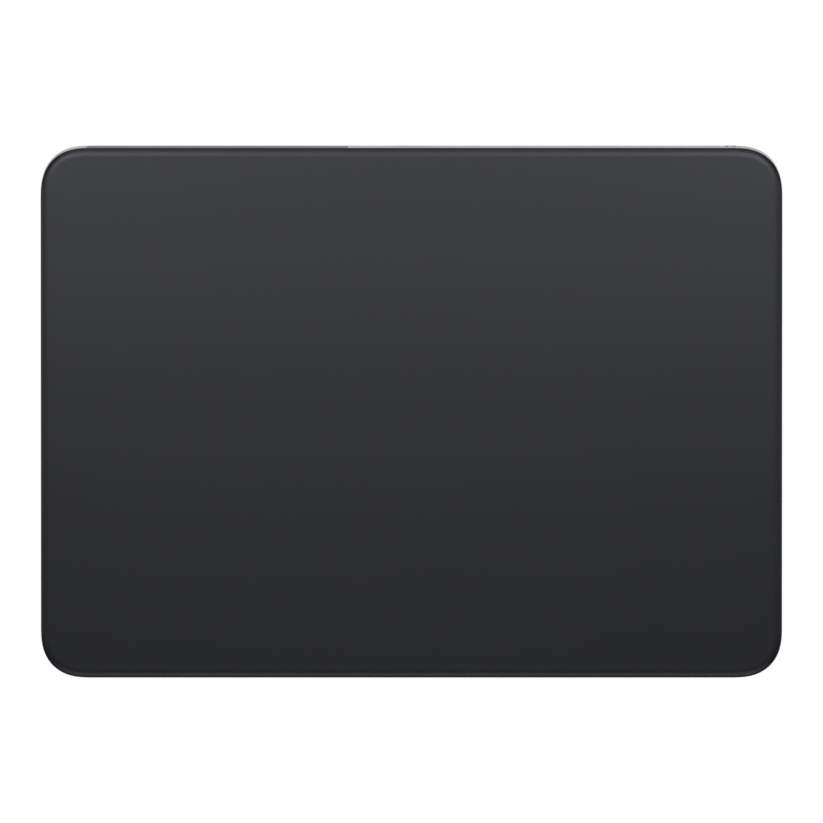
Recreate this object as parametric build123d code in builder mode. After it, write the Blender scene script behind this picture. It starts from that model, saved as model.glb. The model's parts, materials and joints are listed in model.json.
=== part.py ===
from build123d import *
from math import asin, cos, radians, sin, tan
import os

# A wedge-shaped desktop trackpad. +X is to the right, +Y to the rear and +Z up, in millimetres. The origin
# lies on the desk under the middle of the object. Pieces of the touch stack are placed on planes parallel
# to the sloping glass; a "drop" is how far a plane lies below the top of the glass, measured square to it.

# Overall size
width = 160.0
body_length = 114.56  # front to rear along the slope of the glass
front_height = 4.9  # desk to glass at the front edge
rear_height = 11.0  # desk to glass at the rear edge, before its edge is rounded
corner_radius = 8.89
corner_shares = (1.288, 0.766, 0.425)  # of the corner radius, where the corner curve's points lie
overrun = 2.0  # how far a cut runs past the face it starts on

# Glass
glass_thickness = 1.0
glass_inset = 0.05
glass_edge_reach = 1.9  # how far the rounded edge reaches in over the face
glass_edge_drop = 0.55  # how far it falls at the side
glass_edge_steps = 5

# Sensor board and its stiffener, bonded under the glass
sensor_board_thickness = 0.6
sensor_board_inset = 2.4
stiffener_thickness = 0.4
stiffener_inset = 3.2
sensor_chip_size = 5.0
sensor_chip_height = 0.35
sensor_chip_pitch = 14.0
sensor_chip_count = 3
sensor_chip_setback = 12.0  # from the sensor flex's landing forward to the chips
chip_window_margin = 1.0
screw_window_margin = 0.8

# Enclosure
rim_gap = 0.25  # between the glass and the rim, more than the touch plate travels
wall = 1.8
floor_thickness = 0.7
bottom_rounding = 0.9
rim_chamfer = 0.12

# Underside
foot_stand = 0.5
foot_radius = 4.5
foot_chamfer = 0.15
foot_inset_x = 15.0
foot_inset_y = 14.0
base_thickness = 0.6
base_margin = 5.0
base_clearance = 0.1
base_chamfer = 0.15
base_adhesive_thickness = 0.1
base_adhesive_margin = 1.0
sheet_corner_share = 0.6  # of the corner radius, cut off each corner of the hidden sheets

# Rear wall: antenna window, port and power slider
window_side_margin = 10.0
window_port_margin = 13.7  # from the middle of the port to the near end of the window
window_sill = 1.7  # height of the metal left under the window
port_drop = 5.7
port_shell_width = 8.94
port_shell_height = 3.16
port_shell_wall = 0.3
port_shell_length = 7.3
port_clearance = 0.1
port_setback = 0.3
port_mouth_chamfer = 0.2
tongue_width = 6.69
tongue_thickness = 0.7
tongue_setback = 1.0
tongue_block_length = 1.8
tongue_block_clearance = 0.02
contact_count = 12
contact_pitch = 0.5
contact_width = 0.25
contact_thickness = 0.03
contact_length = 3.2
contact_setback = 0.3

knob_side_margin = 11.15  # from the body's side to the middle of the knob at rest
knob_width = 2.3
knob_height = 1.46
knob_stand = 0.22
knob_clearance = 0.12
knob_chamfer = 0.12
slider_travel = 2.0
recess_height = 1.8
recess_depth = 0.7
neck_width = 1.2
neck_height = 0.8
neck_clearance = 0.1
carriage_width = 4.4
carriage_height = 2.4
carriage_thickness = 0.6
carriage_gap = 0.15
fork_finger = 0.6
fork_length = 1.3

# Flexures, one near each corner, and the pads that they carry
flexure_thickness = 0.4
flexure_width = 14.0
flexure_length = 20.0
flexure_chamfer = 1.5
flexure_side_margin = 13.0
flexure_front_margin = 14.28
flexure_rear_margin = 29.28
flexure_opening_width = 9.0
flexure_opening_length = 12.5
flexure_screw_y = 8.1
tongue_plate_width = 7.0
tongue_plate_length = 11.0
pad_size = 6.0
pad_thickness = 0.5
gauge_width = 3.0
gauge_length = 2.0
gauge_thickness = 0.1

# Screws
screw_head_radius = 1.35
screw_head_height = 0.42
screw_shank_radius = 0.6
screw_grip = 0.6
screw_hole_clearance = 0.05
screw_sides = 8  # flats on the small fasteners, their holes and their bosses
boss_radius = 1.9

# Haptic actuator, under the middle of the touch plate
bracket_floor_gap = 0.115  # under the bracket's front edge, which lies as far forward as the floor allows
bracket_width = 53.0
bracket_length = 17.0
core_side_margin = 4.5  # from the bracket's ends to the core's
core_edge_margin = 2.5
core_end_margin = 1.2  # from the core's ends to the outer coils
core_back = 0.5
attraction_plate_overlap = 0.5  # how far the attraction plate reaches past the core, front and rear
attraction_plate_thickness = 0.5
attraction_gap = 0.35
pole_height = 1.0
coil_band = 2.3
coil_clearance = 0.1
coil_gap = 1.6
coil_rounding = 1.6
bracket_thickness = 0.5
bracket_chamfer = 1.6
bracket_screw_margin = 2.4

# Main board along the rear wall, and what stands on it
board_thickness = 0.8
board_left_reach = 24.0  # from the middle of the port to the left end
board_side_margin = 6.0
board_rear_margin = 2.88
board_length_share = 0.117  # of the body's length
board_chamfer = 1.0
board_screw_margin = 2.2
board_screw_count = 4
connector_height = 1.0
connector_length = 2.8
battery_connector_x = 24.0
battery_connector_width = 5.0
haptic_connector_width = 4.4
sensor_connector_setback = 20.0  # from the board's right end
sensor_connector_width = 12.0
shield_height = 1.6
shield_wall = 0.2
shield_rounding = 0.6
shield_rear_margin = 0.6
shield_connector_gap = 2.0
processor_shield_share = 0.226  # of the way from the port's shell to the switch
processor_shield_width = 18.0
radio_shield_x = -15.0
radio_shield_width = 13.0
chip_width = 3.6
chip_length = 3.0
chip_height = 0.8
chip_pitch = 6.0
chip_share = 0.66  # of the way from the port's shell to the switch
chip_count = 4
switch_body_width = 7.0
switch_body_length = 3.2
switch_body_height = 2.3
switch_body_gap = 0.5
lever_width = 0.8
lever_height = 0.8
lever_clearance = 0.1
lever_depth = 1.2

# Battery
cell_side_gap = 1.5  # to the rear flexures
cell_front_gap = 9.2  # to the haptic actuator
cell_rear_gap = 2.6  # from the flange to the main board
cell_gap = 6.0
cell_thickness = 3.6
cell_rounding = 1.1
cell_flange_length = 3.0
cell_flange_thickness = 0.3
cell_adhesive_thickness = 0.15
cell_adhesive_margin = 4.0
battery_board_width = 70.0
battery_board_length = 2.6
battery_board_thickness = 0.6

# Flexible circuits
film = 0.15
film_bend = 0.6
film_lead = 1.0
battery_flex_width = 4.0
haptic_flex_width = 3.6
sensor_flex_width = 10.0
sensor_flex_landing = 3.0
sensor_flex_setback = 5.8  # from its landing to its connector
gauge_flex_width = 2.0
gauge_flex_wall_gap = 0.6
gauge_flex_board_overlap = 4.0  # past the board's front edge
gauge_flex_bend = 1.5
gauge_flex_end_gap = 0.2
antenna_flex_margin = 1.6
antenna_flex_height = 4.6
antenna_slot_width = 0.8
antenna_slot_margin = 2.4
antenna_tail_height = 1.2
antenna_connector_width = 2.6
antenna_connector_x = -6.6

# Levels above the desk
base_level = foot_stand
pocket_top = base_level + base_thickness + base_adhesive_thickness
floor_top = pocket_top + floor_thickness

# Drops below the top of the glass
sensor_board_drop = glass_thickness
stiffener_drop = sensor_board_drop + sensor_board_thickness
pad_drop = stiffener_drop + stiffener_thickness
flexure_drop = pad_drop + pad_thickness
flexure_bottom_drop = flexure_drop + flexure_thickness
rim_drop = glass_thickness + rim_gap
core_top_drop = pad_drop + attraction_plate_thickness + attraction_gap
core_back_drop = core_top_drop + pole_height
bracket_drop = core_back_drop + core_back
board_drop = port_drop + port_shell_height / 2
board_bottom_drop = board_drop + board_thickness

# The slope and the plane of the glass top
tilt = asin((rear_height - front_height) / body_length)
rear_overhang = (rear_height - base_level - bottom_rounding) * tan(tilt)
deck_height = (front_height + rear_height) / 2
deck_y = -rear_overhang / 2
deck = Plane(origin=(0, deck_y, deck_height), x_dir=(1, 0, 0), z_dir=(0, -sin(tilt), cos(tilt)))

# The outer face of the rear wall: x to the right, y up the wall from the level of the glass top, z inwards
rear_middle = deck.from_local_coords(Vector(0, body_length / 2, 0))
rear_face = Plane(origin=rear_middle, x_dir=(1, 0, 0), z_dir=-deck.y_dir)

base_y = deck_y + (deck_height - base_level) * tan(tilt)
base_length = body_length / cos(tilt)

os.makedirs("parts", exist_ok=True)


def deck_at(drop):
    """The plane that lies a drop below the top of the glass."""
    return deck.offset(-drop)


def floor_drop(slope_y):
    """How far the floor lies below the glass, at a place along the slope."""
    return (deck_height + slope_y * sin(tilt) - floor_top) / cos(tilt)


def on_slope(y, z):
    """A point of the side view, from its level and its place on the desk to its place on the slope."""
    point = deck.to_local_coords(Vector(0, y, z))
    return point.Y, point.Z


def side_at(x):
    """The side view's plane at an x: first coordinate up the slope, second square to the glass."""
    return Plane(origin=deck.origin + Vector(x, 0, 0), x_dir=deck.y_dir, z_dir=(1, 0, 0))


def eased_outline(length, inset):
    """The body's outline seen square to it, drawn in by an inset. Each corner is one curve whose bend
    grows from nothing at the side to its tightest at the middle, and dies away again."""
    half_x = width / 2 - inset
    half_y = length / 2 - inset
    reach, middle, near = (share * (corner_radius - inset) for share in corner_shares)
    with BuildSketch() as outline:
        with BuildLine():
            Line((half_x, 0), (half_x, half_y - reach))
            Bezier(
                (half_x, half_y - reach),
                (half_x, half_y - middle),
                (half_x, half_y - near),
                (half_x - near, half_y),
                (half_x - middle, half_y),
                (half_x - reach, half_y),
            )
            Line((half_x - reach, half_y), (0, half_y))
            mirror(about=Plane.YZ)
            mirror(about=Plane.XZ)
        make_face()
    return outline.sketch


def cut_corner_sheet(length, inset):
    """Outline of a hidden sheet: the body's rectangle drawn in by an inset, with its corners cut off."""
    with BuildSketch() as outline:
        Rectangle(width - 2 * inset, length - 2 * inset)
        chamfer(outline.vertices(), length=sheet_corner_share * corner_radius)
    return outline.sketch


def outer_block():
    """The solid wedge inside the enclosure's outer faces."""
    with BuildPart() as block:
        with BuildSketch(deck_at(rim_drop)):
            add(eased_outline(body_length, 0))
        extrude(amount=-(rear_height + overrun))
        split(bisect_by=Plane.XY.offset(base_level), keep=Keep.TOP)
        fillet(block.faces().sort_by(Axis.Z)[0].edges(), radius=bottom_rounding)
        chamfer(block.faces().sort_by(Axis.Z)[-1].edges(), length=rim_chamfer)
    return block.part


# Places on the slope
flexure_x = width / 2 - flexure_side_margin
flexure_front_y = flexure_front_margin - body_length / 2
flexure_rear_y = body_length / 2 - flexure_rear_margin
haptic_front_drop = bracket_drop + bracket_thickness + bracket_floor_gap
haptic_front_y = (haptic_front_drop * cos(tilt) + floor_top - deck_height) / sin(tilt)
haptic_y = haptic_front_y + bracket_length / 2
board_left = -board_left_reach
board_right = width / 2 - board_side_margin
board_rear = body_length / 2 - board_rear_margin
board_length = board_length_share * body_length
board_front = board_rear - board_length
board_width = board_right - board_left
flexure_places = {
    "front_left": (-flexure_x, flexure_front_y),
    "front_right": (flexure_x, flexure_front_y),
    "rear_left": (-flexure_x, flexure_rear_y),
    "rear_right": (flexure_x, flexure_rear_y),
}
flexure_screw_places = [
    (x, y + side * flexure_screw_y) for x, y in flexure_places.values() for side in (-1, 1)
]
core_width = bracket_width - 2 * core_side_margin
core_length = bracket_length - 2 * core_edge_margin
pole_pitch = (core_width + coil_gap - 2 * core_end_margin) / 3
pole_width = pole_pitch - coil_gap - 2 * (coil_band + coil_clearance)
pole_length = core_length - 2 * coil_band
bracket_screw_x = bracket_width / 2 - bracket_screw_margin
bracket_screw_y = bracket_length / 2 - bracket_screw_margin
bracket_screw_places = [
    (x, haptic_y + y) for x in (-bracket_screw_x, bracket_screw_x) for y in (-bracket_screw_y, bracket_screw_y)
]
board_middle = ((board_left + board_right) / 2, (board_front + board_rear) / 2)
board_screw_span = board_width - 2 * board_screw_margin
board_screw_places = [
    (board_left + board_screw_margin + board_screw_span * i / (board_screw_count - 1), board_front + board_screw_margin)
    for i in range(board_screw_count)
]
seats = (
    (flexure_screw_places, flexure_bottom_drop),
    (bracket_screw_places, bracket_drop + bracket_thickness),
    (board_screw_places, board_bottom_drop),
)
screw_hole_depth = screw_grip + screw_hole_clearance

# Rear wall places
window_left = window_side_margin - width / 2
window_right = -window_port_margin
knob_rest_x = width / 2 - knob_side_margin
recess_x = knob_rest_x - slider_travel / 2
recess_length = knob_width + slider_travel + 2 * knob_clearance
window_width = window_right - window_left
window_x = (window_left + window_right) / 2
window_bottom_drop = (rear_height - base_level - window_sill) / cos(tilt)
window_height = window_bottom_drop - rim_drop


# Enclosure: a shallow tub with a pocket under its floor for the base plate
with BuildPart() as cavity:
    with BuildSketch(deck):
        add(eased_outline(body_length, wall))
    extrude(amount=-(rear_height + overrun))
    split(bisect_by=Plane.XY.offset(floor_top), keep=Keep.TOP)

with BuildPart() as enclosure:
    add(outer_block())
    add(cavity.part, mode=Mode.SUBTRACT)
    for places, drop in seats:
        for x, y in places:
            with BuildSketch(deck_at(drop)):
                with Locations((x, y)):
                    RegularPolygon(boss_radius, screw_sides)
            extrude(amount=-(floor_drop(y) - drop + floor_thickness / 2))
    for places, drop in seats:
        with BuildSketch(deck_at(drop)):
            with Locations(*places):
                RegularPolygon(screw_shank_radius + screw_hole_clearance, screw_sides)
        extrude(amount=-screw_hole_depth, mode=Mode.SUBTRACT)
    # pocket for the base plate
    with BuildSketch(Plane.XY.offset(-overrun)):
        with Locations((0, base_y)):
            add(eased_outline(base_length, base_margin))
    extrude(amount=pocket_top + overrun, mode=Mode.SUBTRACT)
    # notch for the antenna window, open at the rim
    with BuildSketch(rear_face.offset(-overrun)):
        with Locations((window_x, -window_bottom_drop)):
            Rectangle(window_width, window_height + overrun, align=(Align.CENTER, Align.MIN))
    extrude(amount=wall + overrun, mode=Mode.SUBTRACT)
    # port, with a small chamfer at its mouth
    port_cut_width = port_shell_width + 2 * port_clearance
    port_cut_height = port_shell_height + 2 * port_clearance
    with BuildSketch(rear_face.offset(-overrun)):
        with Locations((0, -port_drop)):
            SlotOverall(port_cut_width, port_cut_height)
    extrude(amount=wall + 2 * overrun, mode=Mode.SUBTRACT)
    with BuildSketch(rear_face):
        with Locations((0, -port_drop)):
            SlotOverall(port_cut_width + 2 * port_mouth_chamfer, port_cut_height + 2 * port_mouth_chamfer)
    extrude(amount=port_mouth_chamfer, taper=45, mode=Mode.SUBTRACT)
    # recess for the knob, and the slot that its neck runs in
    with BuildSketch(rear_face.offset(-overrun)):
        with Locations((recess_x, -port_drop)):
            SlotOverall(recess_length, recess_height)
    extrude(amount=recess_depth + overrun, mode=Mode.SUBTRACT)
    with BuildSketch(rear_face):
        with Locations((recess_x, -port_drop)):
            Rectangle(neck_width + slider_travel + 2 * neck_clearance, neck_height + 2 * neck_clearance)
    extrude(amount=wall + overrun, mode=Mode.SUBTRACT)
enclosure.part.label = "enclosure"
export_step(enclosure.part, "parts/enclosure.step")

# Antenna window: fills the notch flush with the wall
with BuildPart() as antenna_window:
    add(outer_block())
    with BuildSketch(rear_face.offset(-overrun)):
        with Locations((window_x, -window_bottom_drop)):
            Rectangle(window_width, window_height + overrun, align=(Align.CENTER, Align.MIN))
    extrude(amount=wall + overrun, mode=Mode.INTERSECT)
antenna_window.part.label = "antenna_window"
export_step(antenna_window.part, "parts/antenna_window.step")

# Base plate, adhesive sheet and feet
foot_places = {
    "front_left": (-(width / 2 - foot_inset_x), base_y - base_length / 2 + foot_inset_y),
    "front_right": (width / 2 - foot_inset_x, base_y - base_length / 2 + foot_inset_y),
    "rear_left": (-(width / 2 - foot_inset_x), base_y + base_length / 2 - foot_inset_y),
    "rear_right": (width / 2 - foot_inset_x, base_y + base_length / 2 - foot_inset_y),
}

with BuildPart() as base_plate:
    with BuildSketch(Plane.XY.offset(base_level)):
        with Locations((0, base_y)):
            add(eased_outline(base_length, base_margin + base_clearance))
    extrude(amount=base_thickness)
    chamfer(base_plate.faces().sort_by(Axis.Z)[0].edges(), length=base_chamfer)
base_plate.part.label = "base_plate"
export_step(base_plate.part, "parts/base_plate.step")

with BuildPart() as base_adhesive:
    with BuildSketch(Plane.XY.offset(base_level + base_thickness)):
        with Locations((0, base_y)):
            add(cut_corner_sheet(base_length, base_margin + base_adhesive_margin))
    extrude(amount=base_adhesive_thickness)
base_adhesive.part.label = "base_adhesive"
export_step(base_adhesive.part, "parts/base_adhesive.step")

for corner, (x, y) in foot_places.items():
    with BuildPart() as foot:
        with BuildSketch():
            with Locations((x, y)):
                Circle(foot_radius)
        extrude(amount=foot_stand)
        chamfer(foot.faces().sort_by(Axis.Z)[0].edges(), length=foot_chamfer)
    foot.part.label = f"{corner}_foot"
    export_step(foot.part, f"parts/{corner}_foot.step")

# Glass plate: the edge falls away along a quarter of an ellipse, lofted in bands
with BuildPart() as glass_plate:
    with BuildSketch(deck_at(glass_thickness)):
        add(eased_outline(body_length, glass_inset))
    for i in range(glass_edge_steps + 1):
        angle = radians(90 * i / glass_edge_steps)
        with BuildSketch(deck_at(glass_edge_drop * (1 - sin(angle)))):
            add(eased_outline(body_length, glass_inset + glass_edge_reach * (1 - cos(angle))))
    loft(ruled=True)
glass_plate.part.label = "glass_plate"
export_step(glass_plate.part, "parts/glass_plate.step")

# Sensor board, chips on its underside, and the stiffener with windows for chips, screw heads and flex
connector_y = board_front + board_screw_margin
sensor_connector_x = board_right - sensor_connector_setback
sensor_flex_y = connector_y - connector_length / 2 - sensor_flex_setback
sensor_chip_y = sensor_flex_y - sensor_chip_setback
with BuildPart() as sensor_board:
    with BuildSketch(deck_at(sensor_board_drop)):
        add(cut_corner_sheet(body_length, sensor_board_inset))
    extrude(amount=-sensor_board_thickness)
sensor_board.part.label = "sensor_board"
export_step(sensor_board.part, "parts/sensor_board.step")

with BuildPart() as sensor_chips:
    with BuildSketch(deck_at(stiffener_drop)):
        with Locations((sensor_connector_x - sensor_chip_pitch, sensor_chip_y)):
            with GridLocations(sensor_chip_pitch, 0, sensor_chip_count, 1):
                Rectangle(sensor_chip_size, sensor_chip_size)
    extrude(amount=-sensor_chip_height)
sensor_chips.part.label = "sensor_chips"
export_step(sensor_chips.part, "parts/sensor_chips.step")

with BuildPart() as stiffener_plate:
    with BuildSketch(deck_at(stiffener_drop)):
        add(cut_corner_sheet(body_length, stiffener_inset))
        with Locations(*flexure_screw_places):
            RegularPolygon(screw_head_radius + screw_window_margin, screw_sides, mode=Mode.SUBTRACT)
        with Locations((sensor_connector_x - sensor_chip_pitch, sensor_chip_y)):
            Rectangle(
                sensor_chip_pitch * (sensor_chip_count - 1) + sensor_chip_size + 2 * chip_window_margin,
                sensor_chip_size + 2 * chip_window_margin,
                mode=Mode.SUBTRACT,
            )
        with Locations((sensor_connector_x, sensor_flex_y)):
            Rectangle(
                sensor_flex_width + 2 * chip_window_margin,
                sensor_flex_landing + 2 * chip_window_margin,
                mode=Mode.SUBTRACT,
            )
    extrude(amount=-stiffener_thickness)
stiffener_plate.part.label = "stiffener_plate"
export_step(stiffener_plate.part, "parts/stiffener_plate.step")

# Flexures with their pads and strain gauges. Each is a steel plate with a U-shaped cut that leaves a
# tongue. The plate is screwed down at both ends, and the pad sits on the free end of the tongue.
tongue_root_y = flexure_opening_length / 2
tongue_tip_y = tongue_root_y - tongue_plate_length
for corner, (x, y) in flexure_places.items():
    with BuildPart() as flexure:
        with BuildSketch(deck_at(flexure_drop)):
            with Locations((x, y)):
                outer = Rectangle(flexure_width, flexure_length)
                chamfer(outer.vertices(), length=flexure_chamfer)
                Rectangle(flexure_opening_width, flexure_opening_length, mode=Mode.SUBTRACT)
            with Locations((x, y + tongue_root_y)):
                Rectangle(tongue_plate_width, tongue_plate_length, align=(Align.CENTER, Align.MAX))
            with Locations((x, y - flexure_screw_y), (x, y + flexure_screw_y)):
                RegularPolygon(screw_shank_radius + screw_hole_clearance, screw_sides, mode=Mode.SUBTRACT)
        extrude(amount=-flexure_thickness)
    flexure.part.label = f"{corner}_flexure"
    export_step(flexure.part, f"parts/{corner}_flexure.step")

    with BuildPart() as pad:
        with BuildSketch(deck_at(pad_drop)):
            with Locations((x, y + tongue_tip_y)):
                Rectangle(pad_size, pad_size, align=(Align.CENTER, Align.MIN))
        extrude(amount=-pad_thickness)
    pad.part.label = f"{corner}_pad"
    export_step(pad.part, f"parts/{corner}_pad.step")

    with BuildPart() as gauge:
        with BuildSketch(deck_at(flexure_drop)):
            with Locations((x, y + tongue_root_y)):
                Rectangle(gauge_width, gauge_length, align=(Align.CENTER, Align.MAX))
        extrude(amount=gauge_thickness)
    gauge.part.label = f"{corner}_strain_gauge"
    export_step(gauge.part, f"parts/{corner}_strain_gauge.step")

# Screws: a cheese head on a plain shank
screw_sets = (
    ("flexure_screws", flexure_screw_places, flexure_drop, flexure_thickness),
    ("haptic_screws", bracket_screw_places, bracket_drop, bracket_thickness),
    ("board_screws", board_screw_places, board_drop, board_thickness),
)
for label, places, drop, held in screw_sets:
    with BuildPart() as screws:
        with BuildSketch(deck_at(drop)):
            with Locations(*places):
                RegularPolygon(screw_head_radius, screw_sides)
        extrude(amount=screw_head_height)
        with BuildSketch(deck_at(drop)):
            with Locations(*places):
                RegularPolygon(screw_shank_radius, screw_sides)
        extrude(amount=-(held + screw_grip))
    screws.part.label = label
    export_step(screws.part, f"parts/{label}.step")

# Haptic actuator: three wound poles on a comb-shaped core, on a bracket, under the attraction plate
pole_places = [(side * pole_pitch, haptic_y) for side in (-1, 0, 1)]

with BuildPart() as attraction_plate:
    with BuildSketch(deck_at(pad_drop)):
        with Locations((0, haptic_y)):
            Rectangle(core_width, core_length + 2 * attraction_plate_overlap)
    extrude(amount=-attraction_plate_thickness)
attraction_plate.part.label = "attraction_plate"
export_step(attraction_plate.part, "parts/attraction_plate.step")

with BuildPart() as haptic_core:
    with BuildSketch(deck_at(core_back_drop)):
        with Locations((0, haptic_y)):
            Rectangle(core_width, core_length)
    extrude(amount=-core_back)
    with BuildSketch(deck_at(core_back_drop)):
        with Locations(*pole_places):
            Rectangle(pole_width, pole_length)
    extrude(amount=pole_height)
haptic_core.part.label = "haptic_core"
export_step(haptic_core.part, "parts/haptic_core.step")

coil_hole_width = pole_width + 2 * coil_clearance
coil_hole_length = pole_length + 2 * coil_clearance
for side, place in zip(("left", "middle", "right"), pole_places):
    with BuildPart() as coil:
        with BuildSketch(deck_at(core_back_drop)):
            with Locations(place):
                RectangleRounded(coil_hole_width + 2 * coil_band, coil_hole_length + 2 * coil_band, coil_rounding)
                Rectangle(coil_hole_width, coil_hole_length, mode=Mode.SUBTRACT)
        extrude(amount=pole_height - coil_clearance)
    coil.part.label = f"{side}_coil"
    export_step(coil.part, f"parts/{side}_coil.step")

with BuildPart() as haptic_bracket:
    with BuildSketch(deck_at(bracket_drop)):
        with Locations((0, haptic_y)):
            outer = Rectangle(bracket_width, bracket_length)
            chamfer(outer.vertices(), length=bracket_chamfer)
        with Locations(*bracket_screw_places):
            RegularPolygon(screw_shank_radius + screw_hole_clearance, screw_sides, mode=Mode.SUBTRACT)
    extrude(amount=-bracket_thickness)
haptic_bracket.part.label = "haptic_bracket"
export_step(haptic_bracket.part, "parts/haptic_bracket.step")

# Main board
with BuildPart() as main_board:
    with BuildSketch(deck_at(board_drop)):
        with Locations(board_middle):
            outer = Rectangle(board_width, board_length)
            chamfer(outer.vertices(), length=board_chamfer)
        with Locations(*board_screw_places):
            RegularPolygon(screw_shank_radius + screw_hole_clearance, screw_sides, mode=Mode.SUBTRACT)
    extrude(amount=-board_thickness)
main_board.part.label = "main_board"
export_step(main_board.part, "parts/main_board.step")

connectors = (
    ("battery_connector", battery_connector_x, battery_connector_width),
    ("haptic_connector", 0, haptic_connector_width),
    ("sensor_connector", sensor_connector_x, sensor_connector_width),
)
for label, x, connector_width in connectors:
    with BuildPart() as connector:
        with BuildSketch(deck_at(board_drop)):
            with Locations((x, connector_y)):
                Rectangle(connector_width, connector_length)
        extrude(amount=connector_height)
    connector.part.label = label
    export_step(connector.part, f"parts/{label}.step")

switch_left = recess_x - switch_body_width / 2
rear_row_front = connector_y + connector_length / 2 + shield_connector_gap
shield_length = board_rear - shield_rear_margin - rear_row_front
rear_row_y = rear_row_front + shield_length / 2
rear_row_left = port_shell_width / 2
processor_shield_x = rear_row_left + processor_shield_share * (switch_left - rear_row_left)
chip_x = rear_row_left + chip_share * (switch_left - rear_row_left)
shields = (
    ("processor_shield", processor_shield_x, processor_shield_width),
    ("radio_shield", radio_shield_x, radio_shield_width),
)
for label, x, shield_width in shields:
    with BuildPart() as shield:
        with BuildSketch(deck_at(board_drop)):
            with Locations((x, rear_row_y)):
                RectangleRounded(shield_width, shield_length, shield_rounding)
        extrude(amount=shield_height)
        with BuildSketch(deck_at(board_drop)):
            with Locations((x, rear_row_y)):
                Rectangle(shield_width - 2 * shield_rounding, shield_length - 2 * shield_rounding)
        extrude(amount=shield_height - shield_wall, mode=Mode.SUBTRACT)
    shield.part.label = label
    export_step(shield.part, f"parts/{label}.step")

with BuildPart() as board_chips:
    with BuildSketch(deck_at(board_drop)):
        with Locations((chip_x, rear_row_y)):
            with GridLocations(chip_pitch, 0, chip_count, 1):
                Rectangle(chip_width, chip_length)
    extrude(amount=chip_height)
board_chips.part.label = "board_chips"
export_step(board_chips.part, "parts/board_chips.step")

# Port: shell, tongue and contacts
shell_mouth = rear_face.offset(port_setback)
with BuildPart() as port_shell:
    with BuildSketch(shell_mouth):
        with Locations((0, -port_drop)):
            SlotOverall(port_shell_width, port_shell_height)
            SlotOverall(
                port_shell_width - 2 * port_shell_wall, port_shell_height - 2 * port_shell_wall, mode=Mode.SUBTRACT
            )
    extrude(amount=port_shell_length)
port_shell.part.label = "port_shell"
export_step(port_shell.part, "parts/port_shell.step")

block_width = port_shell_width - 2 * port_shell_wall - 2 * tongue_block_clearance
block_height = port_shell_height - 2 * port_shell_wall - 2 * tongue_block_clearance
with BuildPart() as port_tongue:
    with BuildSketch(shell_mouth.offset(port_shell_length - tongue_block_length)):
        with Locations((0, -port_drop)):
            SlotOverall(block_width, block_height)
    extrude(amount=tongue_block_length)
    with BuildSketch(shell_mouth.offset(tongue_setback)):
        with Locations((0, -port_drop)):
            Rectangle(tongue_width, tongue_thickness)
    extrude(amount=port_shell_length - tongue_setback)
port_tongue.part.label = "port_tongue"
export_step(port_tongue.part, "parts/port_tongue.step")

with BuildPart() as port_contacts:
    contact_offset = (tongue_thickness + contact_thickness) / 2
    with BuildSketch(shell_mouth.offset(tongue_setback + contact_setback)):
        with Locations((0, -port_drop)):
            with GridLocations(contact_pitch, 2 * contact_offset, contact_count, 2):
                Rectangle(contact_width, contact_thickness)
    extrude(amount=contact_length)
port_contacts.part.label = "port_contacts"
export_step(port_contacts.part, "parts/port_contacts.step")

# Power slider: the knob outside, its neck through the wall, and the carriage that the neck snaps into
with BuildPart() as power_knob:
    with BuildSketch(rear_face.offset(-knob_stand)):
        with Locations((knob_rest_x, -port_drop)):
            SlotOverall(knob_width, knob_height)
    extrude(amount=knob_stand + recess_depth - knob_clearance)
    chamfer(power_knob.faces().sort_by(Axis.Y)[-1].edges(), length=knob_chamfer)
    with BuildSketch(rear_face):
        with Locations((knob_rest_x, -port_drop)):
            Rectangle(neck_width, neck_height)
    extrude(amount=wall + carriage_gap)
power_knob.part.label = "power_knob"
export_step(power_knob.part, "parts/power_knob.step")

with BuildPart() as power_carriage:
    with BuildSketch(rear_face.offset(wall + carriage_gap)):
        with Locations((knob_rest_x, -port_drop)):
            Rectangle(carriage_width, carriage_height)
    extrude(amount=carriage_thickness)
    with BuildSketch(rear_face.offset(wall + carriage_gap + carriage_thickness)):
        with Locations((knob_rest_x, -port_drop)):
            with GridLocations(lever_width + 2 * lever_clearance + fork_finger, 0, 2, 1):
                Rectangle(fork_finger, carriage_height)
    extrude(amount=fork_length)
power_carriage.part.label = "power_carriage"
export_step(power_carriage.part, "parts/power_carriage.step")

# Slide switch on the board, with its lever in the carriage's fork
switch_depth = wall + carriage_gap + carriage_thickness + fork_length + switch_body_gap
with BuildPart() as switch_body:
    with BuildSketch(rear_face.offset(switch_depth)):
        with Locations((recess_x, -board_drop)):
            Rectangle(switch_body_width, switch_body_height, align=(Align.CENTER, Align.MIN))
    extrude(amount=switch_body_length)
    with BuildSketch(rear_face.offset(switch_depth)):
        with Locations((recess_x, -port_drop)):
            Rectangle(lever_width + slider_travel + 2 * lever_clearance, lever_height + 2 * lever_clearance)
    extrude(amount=lever_depth + lever_clearance, mode=Mode.SUBTRACT)
switch_body.part.label = "switch_body"
export_step(switch_body.part, "parts/switch_body.step")

with BuildPart() as switch_lever:
    with BuildSketch(rear_face.offset(switch_depth - switch_body_gap - fork_length + lever_clearance)):
        with Locations((knob_rest_x, -port_drop)):
            Rectangle(lever_width, lever_height)
    extrude(amount=switch_body_gap + fork_length - lever_clearance + lever_depth)
switch_lever.part.label = "switch_lever"
export_step(switch_lever.part, "parts/switch_lever.step")

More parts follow.
